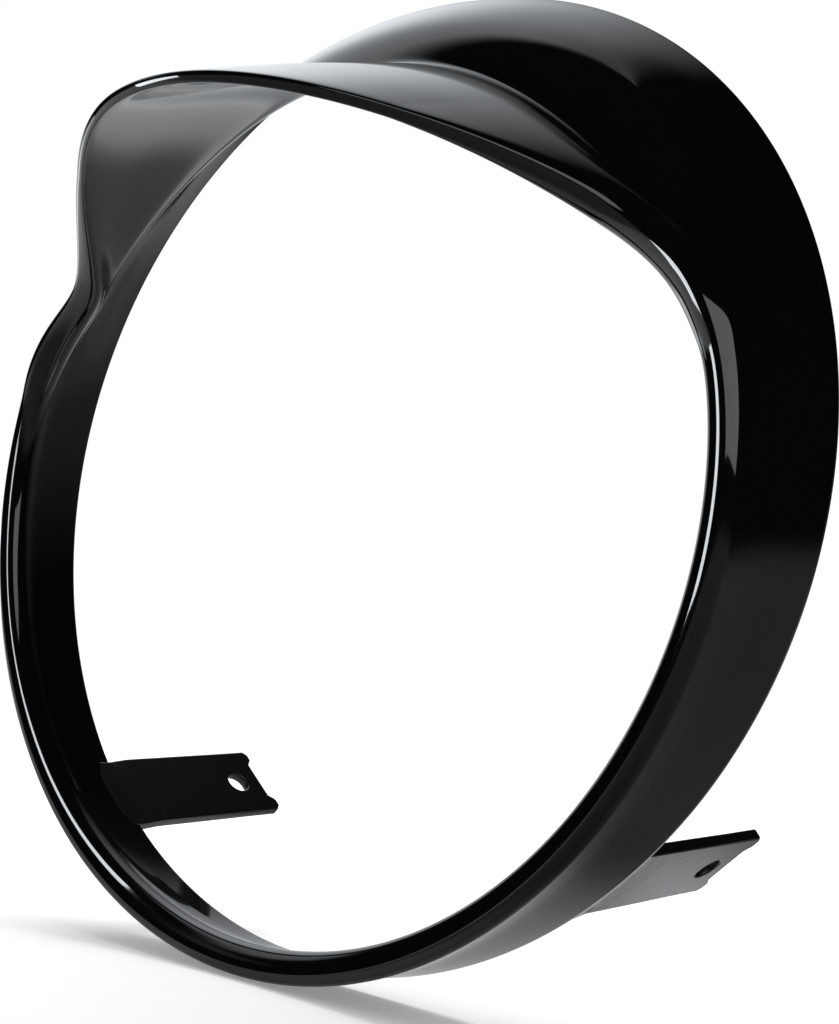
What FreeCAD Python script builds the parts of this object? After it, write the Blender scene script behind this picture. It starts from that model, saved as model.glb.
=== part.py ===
"""Headlight visor: a moulded trim ring with a drooping peak over the lamp and two screw tabs behind it.

Frame: the ring's rear edge lies in the plane Y = 0 and the ring's axis is the Y axis. Y points to the
rear, Z up, and X to the right when the visor is seen from the front. All sizes are in millimetres and
degrees. The wall is described at each angle from the crown by its depth in front of the rear edge and
its radius; the radius is measured from a centre that sinks from the ring axis to the lip's centre.
"""
import FreeCAD
import Part
import Sketcher
import math
import os

Vector = FreeCAD.Vector

DRIVING_SIZES = [
    ("rear_radius", 100.0, "outside radius of the rear edge"),
    ("rear_wall", 2.2, "wall thickness at the rear edge"),
    ("seat_depth", 8.0, "depth of the inner band that sits over the lamp's rim"),
    ("seat_wall", 2.9, "wall thickness at the front of that band"),
    ("lip_radius", 92.7, "radius of the front lip's middle line"),
    ("lip_drop", 5.5, "distance of the lip's centre below the ring axis"),
    ("lip_depth", 21.0, "depth of the lip at the sides"),
    ("lip_tilt", 3.7, "how much deeper the lip lies at the crown than at the sides"),
    ("lip_thickness", 6.0, "thickness of the rolled lip"),
    ("corner_swell", 2.4, "extra thickness of the lip where the peak runs into it"),
    ("corner_spread", 78.0, "angle from the crown at which that swelling ends"),
    ("peak_reach", 47.0, "how far the peak stands out in front of the lip"),
    ("reach_spread", 59.5, "angle from the crown at which that reach ends"),
    ("peak_droop", 34.2, "how far the peak's edge lies inside the lip circle"),
    ("droop_spread", 70.0, "angle from the crown at which that droop ends"),
    ("peak_thickness", 2.5, "thickness of the peak"),
    ("peak_crown", 0.6, "rise of the peak's top over a straight line from valley to edge"),
    ("valley_depth", 22.0, "depth of the valley between the ring and its peak"),
    ("valley_drop", 16.3, "drop of the valley below the ring's plain wall"),
    ("valley_spread", 72.0, "angle from the crown at which the valley ends"),
    ("tab_width", 18.2, "width of a screw tab"),
    ("tab_thickness", 2.2, "thickness of a screw tab"),
    ("tab_angle", 48.6, "angle of a tab's face below the horizontal"),
    ("tab_shift", 2.1, "offset of a tab's screw hole from that radius, towards the top"),
    ("tab_slant", 5.5, "slant of a tab's blade from the hole down to its root"),
    ("tab_lean", 4.6, "lean of a tab's blade towards the axis"),
    ("tab_root_inset", 2.0, "how far the root's middle plane lies inside the rear edge's outside"),
    ("tab_root_radius", "=rear_radius - tab_root_inset", "distance of that plane from the axis"),
    ("tab_root_depth", 5.0, "length of the tab's root inside the ring's wall"),
    ("tab_jog", 1.0, "step of the blade towards the axis behind the rear edge"),
    ("tab_bend", 5.0, "distance behind the rear edge over which the tab steps in"),
    ("tab_hole_back", 34.3, "distance of the screw hole behind the rear edge"),
    ("tab_hole_end", 6.8, "distance from the screw hole to the tab's end"),
    ("tab_hole_diameter", 5.4, "clearance hole for a five millimetre screw"),
    ("nub_length", 1.5, "how far the two nubs stand out from the tab's end"),
    ("nub_width", 2.6, "width of a nub at the tab's corner"),
    ("nub_chamfer", 1.0, "chamfer on a nub's outer corner"),
]

# Shape of the moulding that isn't a size: how the peak's reach, droop and valley run out round the ring.
SECTIONS = 48
REACH_POWER = 2.15
REACH_SOFTNESS = 0.15
DROOP_POWER = 2.1
DROOP_SOFTNESS = 0.2
VALLEY_POWER = 4.0
VALLEY_SOFTNESS = 0.15
CORNER_POWER = 6.0
CORNER_SOFTNESS = 0.15
PEAK_EDGE_SHARE = 1.6
VALLEY_LIMIT = 0.85
SEAT_FULLNESS = 0.72
SHOULDER_SHARE = 0.7
CREST_SHARE = 0.55
SEAT_POINT = 2
VALLEY_POINT = 4
LIP_CORNER = 0.85

doc = FreeCAD.newDocument("headlight_visor")
sheet = doc.addObject("Spreadsheet::Sheet", "Sizes")
for row, (alias, value, note) in enumerate(DRIVING_SIZES, start=1):
    sheet.set(f"A{row}", note)
    sheet.set(f"B{row}", str(value))
    sheet.setAlias(f"B{row}", alias)
doc.recompute()


def size(alias):
    """A driving dimension as a plain number."""
    return float(getattr(sheet, alias))


def run_out(angle, spread, power, softness):
    """Share of a feature left at an angle: one at the crown, none past the spread, softly between."""
    turn = abs(math.remainder(angle, 2 * math.pi))
    rest = 1.0 - (turn / math.radians(spread)) ** power
    return (rest + math.hypot(rest, softness)) / (1.0 + math.hypot(1.0, softness))


def between(a, b, share):
    """The point at a share of the way from a to b, both given as (depth, radius)."""
    return (a[0] + (b[0] - a[0]) * share, a[1] + (b[1] - a[1]) * share)


def wall_line(angle):
    """Control points (depth, radius) of the wall's middle at an angle, from the rear edge to the rim."""
    reach = size("peak_reach") * run_out(angle, size("reach_spread"), REACH_POWER, REACH_SOFTNESS)
    droop = size("peak_droop") * run_out(angle, size("droop_spread"), DROOP_POWER, DROOP_SOFTNESS)
    valley = run_out(angle, size("valley_spread"), VALLEY_POWER, VALLEY_SOFTNESS)
    rear = (0.0, size("rear_radius") - size("rear_wall") / 2)
    lip = (size("lip_depth") + size("lip_tilt") * math.cos(angle), size("lip_radius"))
    rim = (lip[0] + reach, lip[1] - droop)
    plain = between(rear, lip, min(size("valley_depth"), VALLEY_LIMIT * rim[0]) / lip[0])
    dip = (plain[0], plain[1] - size("valley_drop") * valley)
    crest = between(dip, rim, CREST_SHARE)
    crest = (crest[0], crest[1] + size("peak_crown") * valley)
    straight = between(rear, dip, size("seat_depth") / dip[0])
    cone = between(rear, lip, size("seat_depth") / lip[0])
    seat = between(straight, cone, SEAT_FULLNESS)
    slope = between(seat, dip, SHOULDER_SHARE)
    shoulder = between(slope, between(rear, lip, slope[0] / lip[0]), 1 - valley)
    line = [rear, between(rear, seat, 0.5), seat, shoulder, dip]
    line += [between(dip, crest, 0.35), crest, between(crest, rim, CREST_SHARE), rim]
    return line


def half_walls(angle, count):
    """Half the wall's thickness at each of the control points: rear, seat, then growing to the rim.

    The rim is thick round the lip, thin along the peak and thickest at the corner between them.
    """
    reach = run_out(angle, size("reach_spread"), REACH_POWER, REACH_SOFTNESS)
    peak = min(1.0, PEAK_EDGE_SHARE * reach)
    inside = run_out(angle, size("corner_spread"), CORNER_POWER, CORNER_SOFTNESS)
    rim = size("lip_thickness") * (1 - peak) + size("peak_thickness") * peak
    rim += size("corner_swell") * 4 * inside * (1 - inside)
    walls = [size("rear_wall"), (size("rear_wall") + size("seat_wall")) / 2, size("seat_wall")]
    steps = count - len(walls)
    walls += [size("seat_wall") + (rim - size("seat_wall")) * (i + 1) / steps for i in range(steps)]
    return [wall / 2 for wall in walls]


def section(angle):
    """Control polygon of the wall at an angle: out along the top, round the rim and back inside.

    The seat's inner point comes twice, which draws the crease where the lamp's band ends, and so does
    the valley's outer point, which draws the crease behind the peak.
    """
    line = wall_line(angle)
    last = len(line) - 1
    outer = []
    inner = []
    for i, (point, half) in enumerate(zip(line, half_walls(angle, len(line)))):
        before = line[max(i - 1, 0)]
        after = line[min(i + 1, last)]
        run = (after[0] - before[0], after[1] - before[1])
        length = math.hypot(*run)
        ahead = (run[0] / length * half, run[1] / length * half) if i else (half, 0.0)
        outer += [(point[0] - ahead[1], point[1] + ahead[0])] * (2 if i == VALLEY_POINT else 1)
        inner += [(point[0] + ahead[1], point[1] - ahead[0])] * (2 if i == SEAT_POINT else 1)
    rim = line[last]
    nose = []
    for side, full in ((outer[-1], LIP_CORNER), (rim, 1.0), (inner[-1], LIP_CORNER)):
        corner = between(rim, side, LIP_CORNER)
        nose.append((corner[0] + ahead[0] * full, corner[1] + ahead[1] * full))
    swell = 3.0 / (2.0 + math.cos(2 * math.pi / SECTIONS))
    points = []
    for depth, radius in outer + nose + inner[::-1]:
        drop = size("lip_drop") * depth / rim[0]
        across = swell * radius * math.sin(angle)
        points.append(Vector(across, -depth, swell * radius * math.cos(angle) - drop))
    return points


def moulded_ring():
    """The ring with its peak: one skin from the rear edge over the rim and back, and the flat rear face."""
    poles = [section(2 * math.pi * i / SECTIONS) for i in range(SECTIONS)]
    spans = len(poles[0]) - 3
    surface = Part.BSplineSurface()
    surface.buildFromPolesMultsKnots(
        poles,
        [1] * (SECTIONS + 1),
        [4] + [1] * (spans - 1) + [4],
        list(range(SECTIONS + 1)),
        list(range(spans + 1)),
        True,
        False,
        3,
        3,
    )
    skin = surface.toShape()
    rear_edges = [Part.Wire(edge) for edge in skin.Edges if edge.isClosed()]
    rear_face = Part.makeFace(rear_edges, "Part::FaceMakerBullseye")
    shell = Part.Shell([skin] + rear_face.Faces)
    shell.sewShape()
    solid = Part.Solid(shell.Shells[0])
    if solid.Volume < 0:
        solid.reverse()
    return solid


def origin_plane(body, role):
    """One of a body's own origin planes, such as XY_Plane."""
    return next(item for item in body.Origin.OriginFeatures if item.Role == role)


def closed_outline(sketch, points):
    """Draws a closed outline of straight lines through the points and joins its corners."""
    count = len(points)
    for i, point in enumerate(points):
        sketch.addGeometry(Part.LineSegment(Vector(*point), Vector(*points[(i + 1) % count])), False)
    for i in range(count):
        sketch.addConstraint(Sketcher.Constraint("Coincident", i, 2, (i + 1) % count, 1))


def bind(sketch, kind, places, name, expression, start):
    """A named dimension in a sketch, driven by an expression of the sheet's sizes."""
    index = sketch.addConstraint(Sketcher.Constraint(kind, *places, start))
    sketch.renameConstraint(index, name)
    sketch.setExpression(f"Constraints.{name}", expression)


def tab_profile(body):
    """Side view of a tab: root inside the wall, a jog towards the axis, then the leaning blade."""
    thick = size("tab_thickness")
    outer = size("tab_root_radius") + thick / 2
    depth = size("tab_root_depth")
    jog = size("tab_jog")
    bend = size("tab_bend")
    run = size("tab_hole_back") + size("tab_hole_end") + size("nub_length") - bend
    lean_run = run * math.tan(math.radians(size("tab_lean")))
    sketch = body.newObject("Sketcher::SketchObject", "TabProfile")
    sketch.AttachmentSupport = [(origin_plane(body, "XY_Plane"), "")]
    sketch.MapMode = "FlatFace"
    outline = [(outer, -depth), (outer, 0.0), (outer - jog, bend), (outer - jog - lean_run, bend + run)]
    outline += [(point[0] - thick, point[1]) for point in outline[::-1]]
    closed_outline(sketch, outline)
    for line in (0, 6):
        sketch.addConstraint(Sketcher.Constraint("Vertical", line))
    sketch.addConstraint(Sketcher.Constraint("Horizontal", 7))
    sketch.addConstraint(Sketcher.Constraint("Perpendicular", 2, 3))
    sketch.addConstraint(Sketcher.Constraint("Parallel", 2, 4))
    sketch.addConstraint(Sketcher.Constraint("Horizontal", 1, 1, 6, 1))
    sketch.addConstraint(Sketcher.Constraint("Horizontal", 2, 1, 5, 1))
    sketch.addConstraint(Sketcher.Constraint("PointOnObject", 1, 1, -1))
    root_face = "Sizes.tab_root_radius + Sizes.tab_thickness / 2"
    blade_run = "(Sizes.tab_hole_back + Sizes.tab_hole_end + Sizes.nub_length - Sizes.tab_bend)"
    blade_lean = blade_run + " * tan(Sizes.tab_lean * 1 deg)"
    bind(sketch, "DistanceX", (-1, 1, 0, 1), "root_face", root_face, outer)
    bind(sketch, "DistanceY", (0, 1, -1, 1), "root_depth", "Sizes.tab_root_depth", depth)
    bind(sketch, "Distance", (7,), "root_thickness", "Sizes.tab_thickness", thick)
    bind(sketch, "Distance", (3,), "blade_thickness", "Sizes.tab_thickness", thick)
    bind(sketch, "DistanceX", (2, 1, 1, 1), "jog", "Sizes.tab_jog", jog)
    bind(sketch, "DistanceY", (-1, 1, 2, 1), "bend", "Sizes.tab_bend", bend)
    bind(sketch, "DistanceY", (2, 1, 2, 2), "blade_run", blade_run, run)
    bind(sketch, "DistanceX", (2, 2, 2, 1), "blade_lean", blade_lean, lean_run)
    return sketch


def blade_sketch(body, name):
    """An empty sketch in the blade's middle plane: its origin at the screw hole, its X along the blade."""
    sketch = body.newObject("Sketcher::SketchObject", name)
    sketch.AttachmentSupport = [(origin_plane(body, "YZ_Plane"), "")]
    sketch.MapMode = "FlatFace"
    sketch.AttachmentOffset = FreeCAD.Placement(Vector(), FreeCAD.Rotation(Vector(0, 1, 0), size("tab_lean")))
    run = "(Sizes.tab_hole_back - Sizes.tab_bend) * tan(Sizes.tab_lean * 1 deg)"
    sketch.setExpression("AttachmentOffset.Base.x", "Sizes.tab_hole_back")
    sketch.setExpression("AttachmentOffset.Base.z", f"Sizes.tab_root_radius - Sizes.tab_jog - {run}")
    sketch.setExpression("AttachmentOffset.Rotation.Angle", "Sizes.tab_lean * 1 deg")
    return sketch


def cut_blade(body, sketch, name):
    """A pocket right through the blade, both ways from its middle plane."""
    before = body.Shape.Volume
    pocket = body.newObject("PartDesign::Pocket", name)
    pocket.Profile = sketch
    pocket.SideType = "Symmetric"
    pocket.setExpression("Length", "Sizes.tab_thickness * 4")
    doc.recompute()
    if pocket.Shape.Volume >= before:
        raise RuntimeError(f"{name} removed nothing")


def screw_tab():
    """The right-hand tab, a body whose X axis points away from the ring axis and whose Y is the ring's."""
    body = doc.addObject("PartDesign::Body", "ScrewTab")
    pad = body.newObject("PartDesign::Pad", "TabBlade")
    pad.Profile = tab_profile(body)
    pad.SideType = "Symmetric"
    pad.setExpression("Length", "Sizes.tab_width")
    doc.recompute()

    end = max(vertex.Point.y for vertex in pad.Shape.Vertexes)
    corners = []
    for number, edge in enumerate(pad.Shape.Edges, start=1):
        across = abs(edge.Vertexes[0].Z - edge.Vertexes[1].Z)
        if edge.CenterOfMass.y > end - size("tab_thickness") and across < 1e-6:
            if abs(edge.Length - size("tab_thickness")) < 1e-6:
                corners.append(f"Edge{number}")
    chamfer = body.newObject("PartDesign::Chamfer", "NubCorners")
    chamfer.Base = (pad, corners)
    chamfer.setExpression("Size", "Sizes.nub_chamfer")
    doc.recompute()

    hole = blade_sketch(body, "HoleCircle")
    hole.addGeometry(Part.Circle(Vector(), Vector(0, 0, 1), size("tab_hole_diameter") / 2), False)
    hole.addConstraint(Sketcher.Constraint("Coincident", 0, 3, -1, 1))
    bind(hole, "Diameter", (0,), "hole", "Sizes.tab_hole_diameter", size("tab_hole_diameter"))
    cut_blade(body, hole, "ScrewHole")

    recess = blade_sketch(body, "EndRecess")
    near = size("tab_hole_end")
    far = near + 2 * size("nub_length")
    half = size("tab_width") / 2 - size("nub_width")
    closed_outline(recess, [(near, -half), (far, -half), (far, half), (near, half)])
    for line in (0, 2):
        recess.addConstraint(Sketcher.Constraint("Horizontal", line))
    recess.addConstraint(Sketcher.Constraint("Vertical", 1))
    recess.addConstraint(Sketcher.Constraint("Symmetric", 0, 1, 2, 2, -1))
    bind(recess, "DistanceX", (-1, 1, 0, 1), "recess_start", "Sizes.tab_hole_end", near)
    bind(recess, "DistanceX", (0, 1, 0, 2), "recess_run", "Sizes.nub_length * 2", far - near)
    bind(recess, "Distance", (1,), "recess_width", "Sizes.tab_width - Sizes.nub_width * 2", 2 * half)
    cut_blade(body, recess, "NubGap")

    hole_place = Vector(0, size("tab_hole_back"), 0)
    slant = FreeCAD.Placement(Vector(), FreeCAD.Rotation(Vector(1, 0, 0), size("tab_slant")), hole_place)
    shift = FreeCAD.Placement(Vector(0, 0, size("tab_shift")), FreeCAD.Rotation())
    turn = FreeCAD.Placement(Vector(), FreeCAD.Rotation(Vector(0, 1, 0), size("tab_angle")))
    body.Placement = turn.multiply(shift).multiply(slant)
    doc.recompute()
    return body


ring = doc.addObject("Part::Feature", "MouldedRing")
ring.Shape = moulded_ring()
tab = screw_tab()
twin = doc.addObject("Part::Mirroring", "ScrewTabTwin")
twin.Source = tab
twin.Normal = Vector(1, 0, 0)
visor = doc.addObject("Part::MultiFuse", "VisorRing")
visor.Shapes = [ring, tab, twin]
visor.Label = "visor_ring"
doc.recompute()

for item in doc.Objects:
    if "Invalid" in item.State or "Error" in item.State:
        raise RuntimeError(f"{item.Label} did not build")
if visor.Shape.isNull() or not visor.Shape.isValid() or len(visor.Shape.Solids) != 1:
    raise RuntimeError("the visor is not one sound solid")
os.makedirs("parts", exist_ok=True)
visor.Shape.exportStep(f"parts/{visor.Label}.step")
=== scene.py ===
"""Headlight visor: a gloss black trim ring with a drooping peak and two screw tabs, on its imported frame.

The frame is the part's own: Y to the rear along the ring's axis, Z up, X to the right seen from the front.
Sizes are written in millimetres, as on the part, and meshes are made in metres.
"""

import bpy
import numpy as np
from mathutils import Matrix, Vector


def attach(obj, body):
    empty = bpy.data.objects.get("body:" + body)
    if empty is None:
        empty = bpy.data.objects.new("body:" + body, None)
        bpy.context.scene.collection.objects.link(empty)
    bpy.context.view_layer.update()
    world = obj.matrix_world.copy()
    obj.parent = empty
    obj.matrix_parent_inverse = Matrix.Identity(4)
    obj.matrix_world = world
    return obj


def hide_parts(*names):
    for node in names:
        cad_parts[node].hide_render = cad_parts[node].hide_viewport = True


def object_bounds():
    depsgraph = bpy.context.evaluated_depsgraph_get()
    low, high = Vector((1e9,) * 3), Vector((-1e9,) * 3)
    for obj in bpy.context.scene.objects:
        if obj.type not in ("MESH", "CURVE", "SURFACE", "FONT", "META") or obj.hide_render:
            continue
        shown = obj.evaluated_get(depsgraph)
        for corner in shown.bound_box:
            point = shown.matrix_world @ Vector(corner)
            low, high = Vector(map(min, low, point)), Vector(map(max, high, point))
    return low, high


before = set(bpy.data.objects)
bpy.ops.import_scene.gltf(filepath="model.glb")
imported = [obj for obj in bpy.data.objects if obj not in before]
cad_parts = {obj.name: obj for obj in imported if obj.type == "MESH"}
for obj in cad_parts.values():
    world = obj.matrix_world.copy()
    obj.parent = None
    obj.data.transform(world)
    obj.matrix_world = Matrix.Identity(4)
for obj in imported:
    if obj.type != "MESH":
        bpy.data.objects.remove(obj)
CAD_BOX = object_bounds()
MM = 0.001

# Ring wall, in millimetres and degrees.
REAR_RADIUS = 100.0
REAR_WALL = 2.2
SEAT_DEPTH = 8.0
SEAT_WALL = 2.9
LIP_RADIUS = 92.7
LIP_DROP = 5.5
LIP_DEPTH = 21.0
LIP_TILT = 3.7
LIP_THICKNESS = 6.0
LIP_FLARE = 2.0
CORNER_SWELL = 2.4
CORNER_SPREAD = 78.0
CORNER_POWER = 6.0
CORNER_SOFTNESS = 0.15

# Peak and the valley behind it.
PEAK_REACH = 46.78
REACH_SPREAD = 59.5
REACH_POWER = 2.15
REACH_SOFTNESS = 0.15
PEAK_DROOP = 34.2
DROOP_SPREAD = 70.0
DROOP_POWER = 2.1
DROOP_SOFTNESS = 0.2
PEAK_THICKNESS = 2.5
PEAK_CROWN = 0.6
VALLEY_DEPTH = 22.0
VALLEY_DROP = 16.3
VALLEY_SPREAD = 72.0
VALLEY_POWER = 4.0
VALLEY_SOFTNESS = 0.15
PEAK_EDGE_SHARE = 1.6
VALLEY_LIMIT = 0.85
SEAT_FULLNESS = 0.72
SHOULDER_SHARE = 0.7
SHOULDER_RISE = 4.0
CREST_SHARE = 0.55
RISE_SHARE = 0.35
SEAT_POINT = 2
VALLEY_POINT = 4
LIP_CORNER = 0.85

# Screw tabs.
TAB_WIDTH = 18.2
TAB_THICKNESS = 2.2
TAB_ANGLE = 48.6
TAB_SHIFT = 2.1
TAB_SLANT = 5.5
TAB_LEAN = 4.6
TAB_ROOT_RADIUS = 98.0
TAB_ROOT_DEPTH = 5.0
TAB_JOG = 1.0
TAB_BEND = 5.0
TAB_HOLE_BACK = 34.3
TAB_HOLE_END = 6.8
TAB_HOLE_RADIUS = 2.7
NUB_LENGTH = 1.5
NUB_WIDTH = 2.6
NUB_CHAMFER = 1.0
TAB_EDGE_ROUND = 0.35
TAB_EDGE_SHARE = 0.3

# Mesh fineness.
RING_COLUMNS = 640
SKIN_ROWS = 110
SKIN_END_STEP = 0.002
REAR_FACE_SHARES = (0.04, 0.35, 0.65, 0.96)
TAB_OUTLINE_STEP = 0.5
TAB_FACE_ROWS = 36
TAB_FACE_CROWDING = 1.5
GRID_CORNERS = ((0, 0), (1, 0), (1, 1), (0, 1))

# Plastic.
PLASTIC_IOR = 1.5
CLOUD_SCALE = 30.0
CLOUD_DETAIL = 4.0
RIPPLE_DETAIL = 1.0


def run_out(angle, spread, power, softness):
    """Share of a feature left at an angle: with r = 1 - (angle / spread) ^ power it is the soft positive
    part of r, (r + root(r^2 + s^2)) / (1 + root(1 + s^2)), so one at the crown and fading past the spread."""
    rest = 1.0 - (np.abs(angle) / np.radians(spread)) ** power
    return (rest + np.hypot(rest, softness)) / (1.0 + np.hypot(1.0, softness))


def between(a, b, share):
    """The points a share of the way from a to b."""
    return a + (b - a) * share


def wall_line(angle):
    """Control points of the wall's middle for every angle, as an array (angles, points, depth and radius).

    The line leaves the rear edge, passes the lamp's seat, drops into the valley, rises over the peak's crown
    and ends at the rim. Reach, droop and valley run out round the ring, which leaves the plain lip."""
    reach = PEAK_REACH * run_out(angle, REACH_SPREAD, REACH_POWER, REACH_SOFTNESS)
    droop = PEAK_DROOP * run_out(angle, DROOP_SPREAD, DROOP_POWER, DROOP_SOFTNESS)
    valley = run_out(angle, VALLEY_SPREAD, VALLEY_POWER, VALLEY_SOFTNESS)
    none = np.zeros_like(angle)
    rear = np.stack([none, none + REAR_RADIUS - REAR_WALL / 2], axis=1)
    lip = np.stack([LIP_DEPTH + LIP_TILT * np.cos(angle), none + LIP_RADIUS], axis=1)
    rim = lip + np.stack([reach, -droop], axis=1)
    dip_share = np.minimum(VALLEY_DEPTH, VALLEY_LIMIT * rim[:, 0]) / lip[:, 0]
    dip = between(rear, lip, dip_share[:, None]) - np.stack([none, VALLEY_DROP * valley], axis=1)
    crest = between(dip, rim, CREST_SHARE) + np.stack([none, PEAK_CROWN * valley], axis=1)
    straight = between(rear, dip, (SEAT_DEPTH / dip[:, 0])[:, None])
    cone = between(rear, lip, (SEAT_DEPTH / lip[:, 0])[:, None])
    seat = between(straight, cone, SEAT_FULLNESS)
    slope = between(seat, dip, SHOULDER_SHARE)
    shoulder = between(slope, between(rear, lip, (slope[:, 0] / lip[:, 0])[:, None]), 1 - valley[:, None])
    shoulder = shoulder + np.stack([none, SHOULDER_RISE * valley], axis=1)
    line = [rear, between(rear, seat, 0.5), seat, shoulder, dip]
    line += [between(dip, crest, RISE_SHARE), crest, between(crest, rim, CREST_SHARE), rim]
    return np.stack(line, axis=1)


def half_walls(angle, line):
    """Half the wall's thickness at each control point: rear and seat walls, then growing to the rim.

    The rim is thick round the lip, thin along the peak and thickest at the corner between them, where the
    swell follows 4 x (1 - x) of the corner's run-out x."""
    reach = run_out(angle, REACH_SPREAD, REACH_POWER, REACH_SOFTNESS)
    peak = np.minimum(1.0, PEAK_EDGE_SHARE * reach)
    inside = run_out(angle, CORNER_SPREAD, CORNER_POWER, CORNER_SOFTNESS)
    rim = between(LIP_THICKNESS, PEAK_THICKNESS, peak) + CORNER_SWELL * 4 * inside * (1 - inside)
    walls = [np.full_like(angle, wall) for wall in (REAR_WALL, (REAR_WALL + SEAT_WALL) / 2, SEAT_WALL)]
    depth = line[:, len(walls):, 0]
    share = (depth - SEAT_DEPTH) / (depth[:, -1:] - SEAT_DEPTH)
    grown = between(SEAT_WALL, rim[:, None], share ** LIP_FLARE)
    return np.concatenate([np.stack(walls, axis=1), grown], axis=1) / 2


def skin_polygon(angle):
    """Control polygon of the skin for every angle: the wall line moved out by half the wall along its normal,
    round the rim's nose, and back along the line moved in. The seat's inner point and the valley's
    outer point come twice, as creases."""
    line = wall_line(angle)
    count = line.shape[1]
    run = np.empty_like(line)
    run[:, 1:-1] = line[:, 2:] - line[:, :-2]
    run[:, 0] = (1.0, 0.0)
    run[:, -1] = line[:, -1] - line[:, -2]
    ahead = run / np.linalg.norm(run, axis=2, keepdims=True) * half_walls(angle, line)[:, :, None]
    side = np.stack([-ahead[:, :, 1], ahead[:, :, 0]], axis=2)
    outer = np.repeat(line + side, [2 if i == VALLEY_POINT else 1 for i in range(count)], axis=1)
    inner = np.repeat(line - side, [2 if i == SEAT_POINT else 1 for i in range(count)], axis=1)
    rim, nose, tip = line[:, -1], side[:, -1] * LIP_CORNER, ahead[:, -1]
    front = [rim + nose + tip * LIP_CORNER, rim + tip, rim - nose + tip * LIP_CORNER]
    return np.concatenate([outer, np.stack(front, axis=1), inner[:, ::-1]], axis=1)


def spline_weights(count, places):
    """Weights of count control points at each place from 0 to 1 on an open uniform cubic spline."""
    spans = count - 3
    knots = np.concatenate([[0.0] * 3, np.arange(spans + 1.0), [float(spans)] * 3])
    at = np.clip(places * spans, 0.0, spans - 1e-9)[:, None]
    weights = ((at >= knots[:-1]) & (at < knots[1:])).astype(float)
    for degree in (1, 2, 3):
        low, high = knots[: -degree - 1], knots[degree + 1:]
        rise = np.where(knots[degree:-1] > low, knots[degree:-1] - low, 1.0)
        fall = np.where(high > knots[1:-degree], high - knots[1:-degree], 1.0)
        weights = (at - low) / rise * weights[:, :-1] + (high - at) / fall * weights[:, 1:]
    return weights


def ring_surface():
    """The skin of the ring and its peak as a grid (angle, row): a spline section carried round the axis.

    At angle a the point of depth d and radius r lies at (r sin a, -d, r cos a - drop), where the drop grows
    with d from nothing at the rear edge to the lip's drop at the rim. A flat rear face closes the section."""
    angle = np.linspace(-np.pi, np.pi, RING_COLUMNS, endpoint=False)
    polygon = skin_polygon(angle)
    rim_depth = wall_line(angle)[:, -1, 0]
    even = np.linspace(0.0, 1.0, SKIN_ROWS)
    places = np.concatenate([[0.0, SKIN_END_STEP], even[1:-1], [1.0 - SKIN_END_STEP, 1.0]])
    section = np.einsum("rp,apc->arc", spline_weights(polygon.shape[1], places), polygon)
    shares = np.array(REAR_FACE_SHARES)[None, :, None]
    rear_face = between(section[:, -1:], section[:, :1], shares)
    section = np.concatenate([section, rear_face], axis=1)
    depth, radius = section[..., 0], section[..., 1]
    drop = LIP_DROP * depth / rim_depth[:, None]
    around = angle[:, None]
    return np.stack([radius * np.sin(around), -depth, radius * np.cos(around) - drop], axis=2) * MM


def polyline(corners, step):
    """Points along a closed outline of straight lines, about one every step, each corner included."""
    corners = np.array(corners, dtype=float)
    points = []
    for start, end in zip(corners, np.roll(corners, -1, axis=0)):
        count = max(2, int(np.ceil(np.linalg.norm(end - start) / step)))
        points.append(between(start, end, np.linspace(0.0, 1.0, count, endpoint=False)[:, None]))
    return np.concatenate(points)


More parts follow.
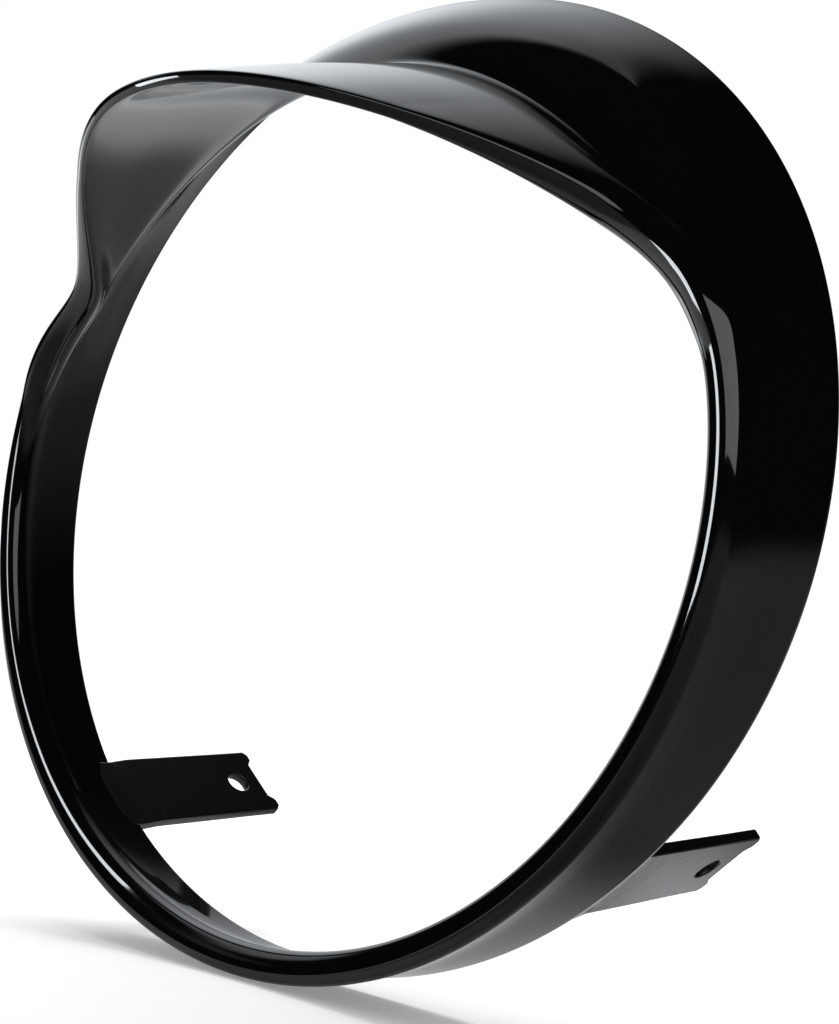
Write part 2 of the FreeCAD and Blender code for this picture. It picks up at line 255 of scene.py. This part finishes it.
def tab_surface(side):
    """One screw tab as a grid (outline point, row): a section carried round the screw hole.

    Each section goes from the hole's wall out over one face to the outline's edge and back over the other
    face. The blade bends outwards near its root, then the tab is leant, slanted about its hole, shifted and
    turned to its angle. side is 1 for the right tab and -1 for its mirror image."""
    half = TAB_WIDTH / 2
    root = -(TAB_HOLE_BACK + TAB_ROOT_DEPTH)
    end, nub = TAB_HOLE_END, TAB_HOLE_END + NUB_LENGTH
    inner = half - NUB_WIDTH
    corners = [(root, -half), (nub - NUB_CHAMFER, -half), (nub, -half + NUB_CHAMFER), (nub, -inner)]
    corners += [(end, -inner + NUB_LENGTH), (end, inner - NUB_LENGTH)]
    corners += [(nub, inner), (nub, half - NUB_CHAMFER), (nub - NUB_CHAMFER, half), (root, half)]
    outline = polyline(corners, TAB_OUTLINE_STEP)
    rays = outline / np.linalg.norm(outline, axis=1, keepdims=True)
    bore = rays * TAB_HOLE_RADIUS
    flat = TAB_THICKNESS / 2
    soft = TAB_EDGE_ROUND
    shoulder = soft * TAB_EDGE_SHARE
    shares = np.linspace(0.0, 1.0, TAB_FACE_ROWS) ** TAB_FACE_CROWDING
    face = between((bore + rays * soft)[:, None], (outline - rays * soft)[:, None], shares[None, :, None])
    edge = np.stack([outline - rays * shoulder, outline, outline, outline - rays * shoulder], axis=1)
    wall = np.stack([bore + rays * shoulder, bore, bore, bore + rays * shoulder], axis=1)
    flange = np.array([flat - shoulder, flat - soft, soft - flat, shoulder - flat])
    plan = np.concatenate([face, edge, face[:, ::-1], wall], axis=1)
    upper = np.full(TAB_FACE_ROWS, flat)
    level = np.concatenate([upper, flange, -upper, flange[::-1]])
    along, across = plan[..., 0], plan[..., 1]
    bend_at = TAB_BEND - TAB_HOLE_BACK
    lean = np.tan(np.radians(TAB_LEAN))
    jog = np.interp(along, [-TAB_HOLE_BACK, bend_at], [TAB_JOG - lean * bend_at, -lean * bend_at])
    lean_out = np.where(along < bend_at, jog, -lean * along)
    hole_radius = TAB_ROOT_RADIUS - TAB_JOG - (TAB_HOLE_BACK - TAB_BEND) * lean
    local = np.stack([hole_radius + lean_out + level[None, :], along, -across], axis=2).reshape(-1, 3)
    turn = Matrix.Rotation(np.radians(TAB_ANGLE), 3, "Y")
    slant = Matrix.Rotation(np.radians(TAB_SLANT), 3, "X")
    placed = local @ np.array(slant).T + np.array([0.0, TAB_HOLE_BACK, TAB_SHIFT])
    placed = placed @ np.array(turn).T * np.array([side, 1.0, 1.0])
    return placed.reshape(plan.shape[0], plan.shape[1], 3) * MM


def grid_quads(rows, columns, closed):
    """Four point numbers for each quad of a grid, which wraps round both ways where it is closed."""
    row = np.arange(rows if closed else rows - 1)[:, None]
    column = np.arange(columns if closed else columns - 1)[None, :]
    numbers = [((row + i) % rows) * columns + (column + j) % columns for i, j in GRID_CORNERS]
    return np.stack(numbers, axis=2).reshape(-1, 4)


def closed_piece(name, points, material):
    """A smooth mesh object from a grid of points that closes both ways, with its faces pointing outwards."""
    quads = grid_quads(*points.shape[:2], closed=True)
    flat = points.reshape(-1, 3)
    a, b, c, d = (flat[quads[:, i]] for i in range(4))
    volume = np.sum(np.cross(a, b) * c) + np.sum(np.cross(a, c) * d)
    if volume < 0:
        quads = quads[:, ::-1]
    mesh = bpy.data.meshes.new(name)
    mesh.from_pydata(flat, [], quads)
    mesh.polygons.foreach_set("use_smooth", np.ones(len(quads), dtype=bool))
    mesh.materials.append(material)
    piece = bpy.data.objects.new(name, mesh)
    bpy.context.scene.collection.objects.link(piece)
    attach(piece, "root")
    return piece


def plastic(name, colour, roughness, roughness_swing, ripple_size, ripple_depth):
    """Moulded plastic: a dark base, roughness that varies softly, and a faint moulding ripple as bump."""
    material = bpy.data.materials.new(name)
    material.use_nodes = True
    nodes, links = material.node_tree.nodes, material.node_tree.links
    shader = nodes["Principled BSDF"]
    shader.inputs["Base Color"].default_value = (*colour, 1.0)
    shader.inputs["IOR"].default_value = PLASTIC_IOR
    place = nodes.new("ShaderNodeTexCoord")
    cloud = nodes.new("ShaderNodeTexNoise")
    cloud.inputs["Scale"].default_value = CLOUD_SCALE
    cloud.inputs["Detail"].default_value = CLOUD_DETAIL
    spread = nodes.new("ShaderNodeMapRange")
    spread.inputs["To Min"].default_value = roughness - roughness_swing
    spread.inputs["To Max"].default_value = roughness + roughness_swing
    ripple = nodes.new("ShaderNodeTexNoise")
    ripple.inputs["Scale"].default_value = 1.0 / ripple_size
    ripple.inputs["Detail"].default_value = RIPPLE_DETAIL
    bump = nodes.new("ShaderNodeBump")
    bump.inputs["Strength"].default_value = 1.0
    bump.inputs["Distance"].default_value = ripple_depth
    links.new(place.outputs["Object"], cloud.inputs["Vector"])
    links.new(place.outputs["Object"], ripple.inputs["Vector"])
    links.new(cloud.outputs["Fac"], spread.inputs["Value"])
    links.new(spread.outputs["Result"], shader.inputs["Roughness"])
    links.new(ripple.outputs["Fac"], bump.inputs["Height"])
    links.new(bump.outputs["Normal"], shader.inputs["Normal"])
    return material


gloss_black = plastic("gloss_black_plastic", colour=(0.003, 0.003, 0.0035), roughness=0.045,
                      roughness_swing=0.02, ripple_size=0.012, ripple_depth=0.00002)
satin_black = plastic("satin_black_plastic", colour=(0.005, 0.005, 0.006), roughness=0.30,
                      roughness_swing=0.05, ripple_size=0.002, ripple_depth=0.00004)
ring = closed_piece("ring_and_peak", ring_surface(), gloss_black)
closed_piece("screw_tab_right", tab_surface(1), satin_black)
closed_piece("screw_tab_left", tab_surface(-1), satin_black)
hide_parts("visor_ring")


# Studio: pale floor, white surround, a dark tent that only reflections see, and soft lamps. Lengths are in
# metres. Bearings are in degrees from the rear (+Y) towards the right (+X), and heights are elevations.
WORLD_LIGHT = 0.45
COOL_WHITE = (0.915, 0.96, 1.0)
MIX_COLOUR_A, MIX_COLOUR_B, MIX_RESULT = 6, 7, 2
FLOOR_HALF = 6.0
FLOOR_GAP = 0.0005
FLOOR_COLOUR = (0.92, 0.92, 0.93)
FLOOR_ROUGHNESS = 0.9
FLOOR_NEAR = 0.14
FLOOR_FAR = 0.61
FLOOR_NEAR_WHITE = 0.25
FLOOR_FAR_WHITE = 0.62
TENT_RADIUS = 2.5
TENT_FLOOR_GAP = 0.00025
TENT_COLUMNS = 181
TENT_ROWS = 91
TENT_HEIGHTS = (-89.0, 90.0)
TENT_FRONT_EDGE = -145.0
TENT_FRONT_SLANT = 0.6
TENT_FRONT_FADE = 10.0
TENT_REAR_EDGE = -42.0
TENT_REAR_FADE = 13.0
TENT_REAR_HIGH = 20.0
TENT_REAR_HIGH_FADE = 18.0
TENT_HIGH_RAMP = (30.0, 70.0)
TENT_HORIZON_GLOW = 26.0
TENT_HORIZON_GLOW_AT = -5.0
TENT_HORIZON_GLOW_REACH = 5.0
REAR_GLOW = 0.14
REAR_GLOW_BEARINGS = (-40.0, -20.0, 18.0, 34.0)
REAR_GLOW_RAMP = (-4.0, 22.0)
SOFTBOX_GLOW = 1.0
SOFTBOX_AT = (-62.0, 47.0)
SOFTBOX_REACH = (18.0, 15.5)
PALE_PATCH_GLOW = 1.3
PALE_PATCH_AT = (0.036, 0.095)
PALE_PATCH_REACH = (0.022, 0.04)
TENT_TOP_COVER = 0.6
TENT_TOP_RAMP = (70.0, 85.0)
TENT_FLOOR_COVER = 0.82
TENT_NEAR_FLOOR_COVER = 0.46
TENT_FLOOR_RAMP = (-64.0, -48.0)
TENT_OPEN_FLOOR = 0.5
TENT_HORIZON = (-6.0, 0.0)
DARK_CARD_BEARINGS = (-138.0, -128.0, -86.0, -76.0)
DARK_CARD_HEIGHTS = (6.0, 11.0, 26.0, 32.0)
LOW_CARD_BEARINGS = (-170.0, -160.0, -92.0, -80.0)
LOW_CARD_HEIGHTS = (-3.0, 0.0, 15.0, 22.0)


def background_rays(nodes, links):
    """Light path node and the socket that is one on rays that see the background: the camera's own, mirrored
    ones and those let through."""
    path = nodes.new("ShaderNodeLightPath")
    mirrored = nodes.new("ShaderNodeMath")
    mirrored.operation = "MAXIMUM"
    seen = nodes.new("ShaderNodeMath")
    seen.operation = "MAXIMUM"
    links.new(path.outputs["Is Camera Ray"], mirrored.inputs[0])
    links.new(path.outputs["Is Glossy Ray"], mirrored.inputs[1])
    links.new(mirrored.outputs["Value"], seen.inputs[0])
    links.new(path.outputs["Is Transmission Ray"], seen.inputs[1])
    return path, seen.outputs["Value"]


def studio_world():
    """A white surround, dimmer for the light that it throws than for what is seen of it, and a little cool in
    reflections."""
    world = bpy.data.worlds.new("white_surround")
    bpy.context.scene.world = world
    world.use_nodes = True
    nodes, links = world.node_tree.nodes, world.node_tree.links
    background = nodes["Background"]
    path, seen = background_rays(nodes, links)
    level = nodes.new("ShaderNodeMapRange")
    level.inputs["To Min"].default_value = WORLD_LIGHT
    level.inputs["To Max"].default_value = 1.0
    tint = nodes.new("ShaderNodeMix")
    tint.data_type = "RGBA"
    tint.inputs[MIX_COLOUR_A].default_value = (1.0, 1.0, 1.0, 1.0)
    tint.inputs[MIX_COLOUR_B].default_value = (*COOL_WHITE, 1.0)
    links.new(path.outputs["Is Glossy Ray"], tint.inputs["Factor"])
    links.new(tint.outputs[MIX_RESULT], background.inputs["Color"])
    links.new(seen, level.inputs["Value"])
    links.new(level.outputs["Result"], background.inputs["Strength"])


def studio_floor():
    """A large pale floor at the object's foot that reads as white and keeps the object's soft shadow. Its own
    white grows with the distance, as the key lamp's light falls off."""
    half, low = FLOOR_HALF, CAD_BOX[0][2] - FLOOR_GAP
    corners = [(-half, -half, low), (half, -half, low), (half, half, low), (-half, half, low)]
    mesh = bpy.data.meshes.new("studio_floor")
    mesh.from_pydata(corners, [], [(0, 1, 2, 3)])
    floor = bpy.data.objects.new("studio_floor", mesh)
    bpy.context.scene.collection.objects.link(floor)
    material = bpy.data.materials.new("pale_floor")
    material.use_nodes = True
    nodes, links = material.node_tree.nodes, material.node_tree.links
    shader = nodes["Principled BSDF"]
    shader.inputs["Base Color"].default_value = (*FLOOR_COLOUR, 1.0)
    shader.inputs["Roughness"].default_value = FLOOR_ROUGHNESS
    shader.inputs["Specular IOR Level"].default_value = 0.0
    shader.inputs["Emission Color"].default_value = (1.0, 1.0, 1.0, 1.0)
    seen = background_rays(nodes, links)[1]
    level = nodes.new("ShaderNodeMapRange")
    level.inputs["From Min"].default_value = FLOOR_NEAR
    level.inputs["From Max"].default_value = FLOOR_FAR
    level.inputs["To Min"].default_value = FLOOR_NEAR_WHITE
    level.inputs["To Max"].default_value = FLOOR_FAR_WHITE
    place = nodes.new("ShaderNodeTexCoord")
    reach = nodes.new("ShaderNodeVectorMath")
    reach.operation = "LENGTH"
    white = nodes.new("ShaderNodeMath")
    white.operation = "MULTIPLY"
    links.new(place.outputs["Object"], reach.inputs[0])
    links.new(reach.outputs["Value"], level.inputs["Value"])
    links.new(level.outputs["Result"], white.inputs[0])
    links.new(seen, white.inputs[1])
    links.new(white.outputs["Value"], shader.inputs["Emission Strength"])
    mesh.materials.append(material)


def smooth_step(low, high, value):
    """Share that rises smoothly from nothing at low to one at high: 3 t^2 - 2 t^3."""
    t = np.clip((value - low) / (high - low), 0.0, 1.0)
    return t * t * (3.0 - 2.0 * t)


def plateau(marks, value):
    """Share that rises smoothly between the first two marks and falls again between the last two."""
    return smooth_step(marks[0], marks[1], value) * (1.0 - smooth_step(marks[2], marks[3], value))


def bell(x, y, middle, reach):
    """Share that falls off as e to the minus squared distance from the middle, each way by its own reach."""
    return np.exp(-(((x - middle[0]) / reach[0]) ** 2) - ((y - middle[1]) / reach[1]) ** 2)


def studio_tent():
    """A dark tent round the object, seen only in reflections, open to the white surround on the left.

    It is a grid over bearing and elevation, far away above the floor and lying just over it below. Its cover
    is one on the dark sides, thinner on the floor, and fades to nothing across the edges of the opening. Its
    glow adds two bell-shaped patches of light: a softbox high on the left, and pale floor behind the right
    tab."""
    bearing = np.radians(np.linspace(-180.0, 180.0, TENT_COLUMNS))[:, None]
    rise = np.radians(np.linspace(*TENT_HEIGHTS, TENT_ROWS))[None, :]
    floor_reach = (TENT_FLOOR_GAP - CAD_BOX[0][2]) / np.maximum(np.sin(-rise), 1e-6)
    reach = np.minimum(TENT_RADIUS, np.where(rise < 0.0, floor_reach, TENT_RADIUS))
    across = np.cos(rise) * reach
    sides = np.sin(bearing) * across, np.cos(bearing) * across
    points = np.stack([*sides, np.broadcast_to(np.sin(rise) * reach, sides[0].shape)], axis=2)
    turn, lift = np.degrees(bearing), np.degrees(rise)
    front_edge = TENT_FRONT_EDGE + TENT_FRONT_SLANT * np.maximum(lift, 0.0)
    high = smooth_step(*TENT_HIGH_RAMP, lift)
    horizon = np.exp(-(((lift - TENT_HORIZON_GLOW_AT) / TENT_HORIZON_GLOW_REACH) ** 2))
    rear_edge = TENT_REAR_EDGE + TENT_REAR_HIGH * high + TENT_HORIZON_GLOW * horizon
    rear_fade = TENT_REAR_FADE + TENT_REAR_HIGH_FADE * high
    past_front = smooth_step(front_edge - TENT_FRONT_FADE, front_edge + TENT_FRONT_FADE, turn)
    before_rear = 1.0 - smooth_step(rear_edge - rear_fade, rear_edge + rear_fade, turn)
    card = plateau(DARK_CARD_BEARINGS, turn) * plateau(DARK_CARD_HEIGHTS, lift)
    card = np.maximum(card, plateau(LOW_CARD_BEARINGS, turn) * plateau(LOW_CARD_HEIGHTS, lift))
    top_open = 1.0 - TENT_TOP_COVER * smooth_step(*TENT_TOP_RAMP, lift)
    opened = past_front * before_rear * top_open * (1.0 - card)
    rear_glow = plateau(REAR_GLOW_BEARINGS, turn) * (1.0 - smooth_step(*REAR_GLOW_RAMP, lift))
    opened = np.maximum(opened, REAR_GLOW * rear_glow)
    opened = opened * between(TENT_OPEN_FLOOR, 1.0, smooth_step(*TENT_HORIZON, lift))
    floor_cover = between(TENT_NEAR_FLOOR_COVER, TENT_FLOOR_COVER, smooth_step(*TENT_FLOOR_RAMP, lift))
    cover = (1.0 - opened) * between(floor_cover, 1.0, smooth_step(*TENT_HORIZON, lift))
    softbox = SOFTBOX_GLOW * bell(turn, lift, SOFTBOX_AT, SOFTBOX_REACH)
    pale_patch = PALE_PATCH_GLOW * bell(points[..., 0], points[..., 1], PALE_PATCH_AT, PALE_PATCH_REACH)
    glow = softbox + np.where(lift < 0.0, pale_patch, 0.0)
    mesh = bpy.data.meshes.new("dark_tent")
    mesh.from_pydata(points.reshape(-1, 3), [], grid_quads(*points.shape[:2], closed=False))
    for name, values in (("cover", cover), ("glow", glow)):
        layer = mesh.attributes.new(name, "FLOAT", "POINT")
        layer.data.foreach_set("value", values.ravel().astype(np.float32))
    tent = bpy.data.objects.new("dark_tent", mesh)
    bpy.context.scene.collection.objects.link(tent)
    material = bpy.data.materials.new("dark_cloth")
    material.use_nodes = True
    nodes, links = material.node_tree.nodes, material.node_tree.links
    shader = nodes["Principled BSDF"]
    shader.inputs["Base Color"].default_value = (0.0, 0.0, 0.0, 1.0)
    shader.inputs["Roughness"].default_value = 1.0
    shader.inputs["Specular IOR Level"].default_value = 0.0
    cloth = nodes.new("ShaderNodeAttribute")
    cloth.attribute_name = "cover"
    links.new(cloth.outputs["Fac"], shader.inputs["Alpha"])
    patch = nodes.new("ShaderNodeAttribute")
    patch.attribute_name = "glow"
    light = nodes.new("ShaderNodeEmission")
    light.inputs["Color"].default_value = (*COOL_WHITE, 1.0)
    both = nodes.new("ShaderNodeAddShader")
    links.new(patch.outputs["Fac"], light.inputs["Strength"])
    links.new(shader.outputs["BSDF"], both.inputs[0])
    links.new(light.outputs["Emission"], both.inputs[1])
    links.new(both.outputs["Shader"], nodes["Material Output"].inputs["Surface"])
    material.cycles.emission_sampling = "NONE"
    mesh.materials.append(material)
    tent.visible_camera = False
    tent.visible_diffuse = False
    tent.visible_shadow = False
    tent.visible_transmission = False


def seen_at(bearing, rise, distance):
    """The place at a bearing and an elevation in degrees and a distance in metres from the ring's centre."""
    turn, lift = np.radians([bearing, rise])
    return Vector((np.sin(turn) * np.cos(lift), np.cos(turn) * np.cos(lift), np.sin(lift))) * distance


def soft_lamp(name, place, facing, width, height, glow, lights=False):
    """A flat soft lamp at a place, facing a direction.

    The glow is its brightness against white, so its power is glow times pi times its area. A lamp either
    lights the scene or is there for its reflection alone."""
    lamp = bpy.data.lights.new(name, "AREA")
    lamp.shape = "RECTANGLE"
    lamp.size = width
    lamp.size_y = height
    lamp.energy = glow * np.pi * width * height
    lamp.color = (1.0, 1.0, 1.0) if lights else COOL_WHITE
    holder = bpy.data.objects.new(name, lamp)
    holder.location = place
    holder.rotation_euler = facing.to_track_quat("-Z", "Y").to_euler()
    holder.visible_camera = False
    holder.visible_diffuse = lights
    holder.visible_glossy = not lights
    bpy.context.scene.collection.objects.link(holder)


studio_world()
studio_floor()
studio_tent()
key_place = seen_at(bearing=-78.0, rise=60.0, distance=1.5)
low_place = seen_at(bearing=-82.0, rise=-1.0, distance=1.5)
near_place = Vector((-0.135, -0.235, 0.030))
window = seen_at(bearing=122.0, rise=22.0, distance=1.2)
to_the_right = Vector((1.0, 0.0, 0.0))
soft_lamp("key_softbox_left", key_place, -key_place, width=1.1, height=0.9, glow=6.0, lights=True)
soft_lamp("low_softbox_left", low_place, -low_place, width=0.8, height=0.20, glow=1.9)
soft_lamp("near_lamp_front", near_place, to_the_right, width=0.13, height=0.055, glow=16.0)
soft_lamp("window_lamp", window, -window, width=1.6, height=0.55, glow=2.2)

# Camera at the photograph's viewing angle: degrees, millimetres and pixels.
CAMERA_BEARING = 41.05
CAMERA_RISE = -8.42
CAMERA_ROLL = 7.5
CAMERA_DISTANCE = 320.0
CAMERA_ASIDE = 8.2
CAMERA_BELOW = -9.21
CAMERA_CLIP = 0.01
FOCAL_PIXELS = 1568.26
IMAGE_WIDTH = 839
SENSOR_WIDTH = 36.0

bearing, rise, roll = np.radians([CAMERA_BEARING, CAMERA_RISE, CAMERA_ROLL])
back = Vector((np.sin(bearing) * np.cos(rise), -np.cos(bearing) * np.cos(rise), np.sin(rise)))
level_right = Vector((0.0, 0.0, 1.0)).cross(back).normalized()
level_up = back.cross(level_right)
right = level_right * np.cos(roll) + level_up * np.sin(roll)
up = level_up * np.cos(roll) - level_right * np.sin(roll)
lens = bpy.data.cameras.new("camera")
lens.sensor_fit = "HORIZONTAL"
lens.sensor_width = SENSOR_WIDTH
lens.lens = FOCAL_PIXELS / IMAGE_WIDTH * SENSOR_WIDTH
lens.clip_start = CAMERA_CLIP
camera = bpy.data.objects.new("camera", lens)
place = (back * CAMERA_DISTANCE + right * CAMERA_ASIDE + up * CAMERA_BELOW) * MM
camera.matrix_world = Matrix.Translation(place) @ Matrix((right, up, back)).transposed().to_4x4()
bpy.context.scene.collection.objects.link(camera)
bpy.context.scene.camera = camera
bpy.context.scene.view_settings.view_transform = "Standard"
